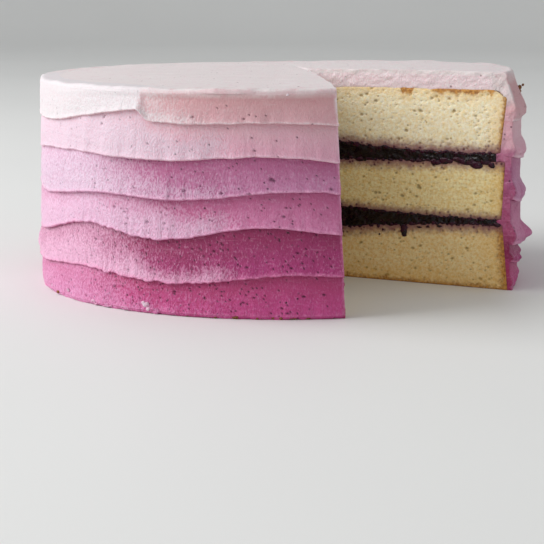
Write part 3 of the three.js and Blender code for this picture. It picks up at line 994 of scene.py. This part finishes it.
CRUMB_TINTS = {
    # pale and deep tint, a shade yellower from one sponge down to the next
    "sponge_bottom": ("#ffeab8", "#f2ca82"),
    "sponge_middle": ("#fff0c0", "#f0cf86"),
    "sponge_top": ("#fff7de", "#f6dfac"),
}
SPONGES = {
    "sponge_bottom": (None, "bottom_sponge_top"),
    "sponge_middle": ("lower_jam_top", "middle_sponge_top"),
    "sponge_top": ("upper_jam_top", "top_sponge_top"),
}
JAMS = {
    "jam_lower": ("bottom_sponge_top", "lower_jam_top"),
    "jam_upper": ("middle_sponge_top", "upper_jam_top"),
}


# Browned patches of the top sponge's upper crust: from, to and fading length along the far cut
CRUST_PATCHES = ((46, 54, 2), (60, 94, 4))
# The drip under the lower jam and the smears beside it: along the cut, height, half width, half height
DRIP = [
    (49.5, 24.6, 2.0, 1.4), (49.4, 22.8, 1.6, 1.6), (49.6, 21.4, 1.3, 1.1),
    (37.0, 24.6, 0.7, 0.9), (39.2, 23.0, 0.5, 0.6), (34.0, 25.2, 0.8, 0.5), (37.6, 20.8, 0.4, 0.5),
    (57.0, 25.2, 1.2, 0.5), (61.0, 25.6, 1.0, 0.4), (66.5, 26.2, 1.3, 0.5),
]


def height_of(face):
    if face is None:
        return lambda radius, angle: 0 * radius
    return lambda radius, angle: layer_height(face, radius, angle)


def crumb_relief(rng):
    """Cut crumb: a torn, open surface with small holes. Holes are drawn afresh for each cut."""
    def relief(cut, along, z):
        rough = 0.12 * layered_noise(along / 1.6, z / 1.6, cut, 61) + 0.12 * noise(along / 8, z / 5, cut, 64)
        depth = np.zeros(z.shape)
        rows, columns = z.shape
        for _ in range(round(z.size * 0.022)):
            row, column = rng.integers(1, rows - 1), rng.integers(1, columns - 1)
            size = rng.uniform(0.2, 0.42) + 0.4 * rng.random() ** 8
            reach = int(size / 0.3) + 2
            part = np.s_[max(row - reach, 0):row + reach + 1, max(column - reach, 0):column + reach + 1]
            tilt = rng.uniform(-0.6, 0.6)
            aside, rise = along[part] - along[row, column], z[part] - z[row, column]
            away = np.hypot(aside * 0.7 + tilt * rise, rise - tilt * aside * 0.4) / size
            depth[part] = np.maximum(depth[part], 0.85 * size * np.exp(-away**2))
        return 0.3 + rough - depth * ease((along[-1:] - along) / 3 - 0.4)
    return relief


def crust_depth(name, radius, angle, along, level, thick):
    """Millimetres in from the browned crust: the baked side, the foot, and patches of the top."""
    crust = (sponge_radius(level, angle, name) - radius) * 0.9 + 0.2
    if name == "sponge_bottom":
        return np.minimum(crust * 0.42 - 1.0, level * thick * 0.6 - 0.7)
    if name == "sponge_top":
        patches = sum(ease((along - start) / fade) * ease((end - along) / fade)
                      for start, end, fade in CRUST_PATCHES)
        brown = patches * (2.6 + 1.6 * noise(along / 2.3, angle / 40, 0, 68))
        return np.minimum(crust * 0.8 - 0.8, (1 - level) * thick + 0.9 - brown)
    return crust * 0.8 - 0.6


def make_sponge(name, rng):
    material = sponge_crumb(name.replace("_", " ") + " crumb", *CRUMB_TINTS[name])
    under, over = SPONGES[name]
    lower, upper = height_of(under), height_of(over)

    def side(level, angle):
        return sponge_radius(level, angle, name)

    points, faces = welded(layer_sheets(lower, upper, side, crumb_relief(rng), 256, 76, 21))
    x, y, z = points.T
    radius, angle = polar(x, y)
    low, high = lower(radius, angle), upper(radius, angle)
    off = np.stack([x, y], -1) - SLICE_POINT
    outward = np.stack([off @ cut_normal(cut)[:2] for cut in (FAR_CUT, NEAR_CUT)])
    nearest = np.take_along_axis(outward, np.abs(outward).argmin(0)[None], 0)[0]
    soak = {"sponge_bottom": high - z, "sponge_middle": np.minimum(high - z, (z - low) * 1.2 + 0.4),
            "sponge_top": z - low}[name] * 0.85
    values = {
        "crust": crust_depth(name, radius, angle, np.hypot(*off.T), (z - low) / (high - low), high - low),
        "soak": soak,
        # painted shade where the cut face is sunk into a hole of the crumb
        "sunk_shade": ease((0.16 - nearest) / 0.34) * (nearest > -1),
    }
    piece = make_piece(name.replace("sponge", "crumb"), points, faces, material, [name], values)
    face_outwards(piece)
    return piece


def lumps(spots, rng):
    """Small smooth lumps in one mesh: each spot is a centre, three half sizes and the way it faces."""
    work = bmesh.new()
    bmesh.ops.create_icosphere(work, subdivisions=2, radius=1)
    ball = np.array([vertex.co[:] for vertex in work.verts])
    sides = np.array([[vertex.index for vertex in face.verts] for face in work.faces])
    work.free()
    points, faces = [], []
    for number, (centre, (across, up, out), facing) in enumerate(spots):
        along = np.cross([0, 0, 1], facing)
        frame_of = np.stack([along * across, [0, 0, up], np.asarray(facing) * out])
        swell = 1 + 0.25 * noise(ball[:, 0] * 1.3, ball[:, 1] * 1.3 + number * 3.7, ball[:, 2] * 1.3, 81)
        points.append(np.asarray(centre) + (ball * swell[:, None]) @ frame_of)
        faces.append(sides + number * len(ball))
    return np.concatenate(points), np.concatenate(faces).tolist()


def jam_edges(name, rng):
    """Lumps of fruit that stand out of the jam on both cuts, and hang over its lower edge."""
    under, over = JAMS[name]
    spots = []
    for cut in (FAR_CUT, NEAR_CUT):
        for face, way in ((under, -1), (over, 1)):
            along = 1.5
            end = 90 + (FAR_REACH[name] if cut == FAR_CUT else 0)
            while along < end:
                x, y = from_point(cut, along)
                z = float(layer_height(face, *polar(x, y)))
                big = 1.0 if cut == FAR_CUT and name == "jam_upper" and way < 0 and along > 62 else 0.0
                big += 0.6 * big * (80 < along < 93)
                size = rng.uniform(0.3, 0.7) * (1 + 0.8 * big) + 0.6 * rng.random() ** 6
                z += way * (rng.uniform(-0.5, 0.3) + big * rng.uniform(0.1, 1.0))
                spots.append(((x, y, z) + 0.25 * cut_normal(cut),
                              (size * rng.uniform(1.0, 2.2), size, 0.4), cut_normal(cut)))
                along += rng.uniform(0.6, 3.0)
    if name == "jam_lower":
        for along, z, across, up in DRIP:
            place = (*from_point(FAR_CUT, along), z) + 0.3 * cut_normal(FAR_CUT)
            spots.append((place, (across, up, 0.55), cut_normal(FAR_CUT)))
    return lumps(spots, rng)


def make_jam(name, material, rng):
    under, over = JAMS[name]

    def relief(cut, along, z):
        hills = 0.4 * noise(along / 2.4, z / 2, cut, 71) + 0.3 * noise(along / 1.1, z / 1.0, cut, 72)
        return 0.3 + hills

    def side(level, angle):
        return jam_radius(name, angle)

    points, faces = welded(layer_sheets(height_of(under), height_of(over), side, relief, 240, 22, 21))
    more, more_faces = jam_edges(name, rng)
    faces = [*faces, *[[corner + len(points) for corner in face] for face in more_faces]]
    thin = np.concatenate([np.zeros(len(points)), np.ones(len(more))])
    piece = make_piece(name.replace("jam", "berry_jam"), np.concatenate([points, more]), faces,
                       material, [name], {"thin": thin})
    face_outwards(piece)
    return piece


# Crumbs and dabs: the angle round the cake, the radius, the height and the half size of each
CRUMBS = [(-7.0, 107.7, 86.9, 1.5), (-7.5, 107.6, 85.4, 1.3), (-6.6, 109.2, 88.0, 0.8),
          (-152.0, 108.6, 1.2, 0.9)]
DABS = [
    # angle, radius, height, half width, half height, paleness
    (-120.5, 108.6, 3.2, 1.9, 1.9, 0.6), (-118.0, 108.5, 1.6, 2.2, 1.0, 0.1),
    (-125.5, 108.5, 1.0, 2.6, 0.7, 0.3),
    (-131.5, 108.5, 1.0, 2.6, 0.7, 0.2), (-136.0, 108.4, 1.2, 2.0, 0.8, 0.4),
    (-86.5, 107.4, 90.4, 0.6, 0.5, 1.0), (-79.0, 107.2, 0.9, 1.0, 0.7, 0.9),
    (-157.0, 108.0, 2.2, 1.6, 0.9, 0.6),
    (-141.0, 108.2, 1.4, 1.8, 0.7, 0.5), (-147.0, 108.2, 3.2, 1.2, 0.8, 0.5),
]


def make_crumbs(rng):
    """Bits of browned sponge that stuck to the icing."""
    material = sponge_crumb("loose sponge crumb", "#8a5a3a", "#54281c", "#3c1c18")
    places = list(CRUMBS)
    for angle in rng.uniform(-112, -82, 16):
        places.append((angle, 107.9, rng.uniform(0.3, 0.8), rng.uniform(0.35, 0.75)))
    spots = []
    for angle, radius, z, size in places:
        facing = np.array([*on_circle(1.0, angle), 0.0])
        centre = (*on_circle(radius, angle), max(z, size))
        spots.append((centre, (size * 1.2, size * 0.8, size * 0.7), facing))
    points, faces = lumps(spots, rng)
    values = {"crust": np.full(len(points), 4.5), "soak": np.full(len(points), 9.0)}
    return make_piece("sponge_crumbs", points, faces, material, [], values)


def make_dabs(rng):
    """Dabs of icing pushed out at the foot and on the rim."""
    spots, paleness = [], []
    for angle, radius, z, across, up, pale in DABS:
        facing = np.array([*on_circle(1.0, angle), 0.0])
        for _ in range(6):
            size = rng.uniform(0.35, 0.75)
            aside, rise = rng.uniform(-0.8, 0.8, 2) * (across, up)
            place = (*on_circle(radius, angle + np.degrees(aside / radius)), max(z + rise, up * size * 1.25))
            spots.append((place, (across * size, up * size, 0.25 + 0.3 * size), facing))
            paleness.append(pale * rng.uniform(0.7, 1))
    points, faces = lumps(spots, rng)
    material = buttercream("buttercream dabs", "#b8568a", "#c870a0", "#eee4ea", "#eee4ea", "#6a3a46", 0.05)
    values = {"down": np.ones(len(points)), "torn": np.full(len(points), 0.5),
              "frost_and_light": np.repeat(paleness, len(points) // len(spots))}
    return make_piece("buttercream_dabs", points, faces, material, [], values)


# Floor, light and camera

def make_floor():
    """A level floor that sweeps up into a backdrop a long way behind the cake."""
    front, back, bend, top, half = -3000, 2500, 900, 4000, 5000
    turns = np.linspace(0, math.pi / 2, 16)[1:]
    profile = [(front, 0), (back, 0)]
    profile += [(back + bend * math.sin(turn), bend - bend * math.cos(turn)) for turn in turns]
    profile += [(back + bend, top)]
    points = [(x, y, z) for y, z in profile for x in (-half, half)]
    faces = [(2 * n, 2 * n + 1, 2 * n + 3, 2 * n + 2) for n in range(len(profile) - 1)]
    mesh = bpy.data.meshes.new("floor")
    mesh.from_pydata((np.array(points, float) * MM).tolist(), [], faces)
    mesh.materials.append(plain_floor())
    mesh.polygons.foreach_set("use_smooth", [True] * len(faces))
    floor = bpy.data.objects.new("floor", mesh)
    bpy.context.scene.collection.objects.link(floor)


def add_light(name, place, aim, size, power, colour):
    light = bpy.data.lights.new(name, "AREA")
    light.shape, light.size, light.size_y = "RECTANGLE", size[0], size[1]
    light.energy, light.color = power, linear(colour)[:3]
    lamp = bpy.data.objects.new(name, light)
    lamp.location = place
    lamp.rotation_euler = (Vector(aim) - Vector(place)).to_track_quat("-Z", "Y").to_euler()
    bpy.context.scene.collection.objects.link(lamp)


def make_light():
    add_light("window", (-1.4, -0.1, 0.95), (0, 0, 0.05), (1.6, 1.3), 30, "#ffffff")
    world = bpy.data.worlds.new("soft room light")
    world.use_nodes = True
    background = world.node_tree.nodes["Background"]
    background.inputs["Color"].default_value = linear("#eef0f2")
    background.inputs["Strength"].default_value = 0.62
    bpy.context.scene.world = world


def make_camera():
    """The photographer's place: just above the cake's rim, about 80 cm away, looking a little down."""
    camera = bpy.data.cameras.new("camera")
    camera.sensor_width = 36.0
    camera.lens = 119.1
    camera.clip_start, camera.clip_end = 0.01, 50
    holder = bpy.data.objects.new("camera", camera)
    holder.location = (-0.00336, -0.8176, 0.1400)
    holder.rotation_euler = (math.radians(90 - 9.632), 0, 0)
    bpy.context.scene.collection.objects.link(holder)
    bpy.context.scene.camera = holder


random_draws = np.random.default_rng(SEED)
for band in range(len(LIPS) + 1):
    make_band(band, random_draws)
make_top()
jam = berry_jam()
for layer in SPONGES:
    make_sponge(layer, random_draws)
for layer in JAMS:
    make_jam(layer, jam, random_draws)
make_crumbs(random_draws)
make_dabs(random_draws)
make_floor()
make_light()
make_camera()
bpy.context.scene.view_settings.view_transform = "Standard"
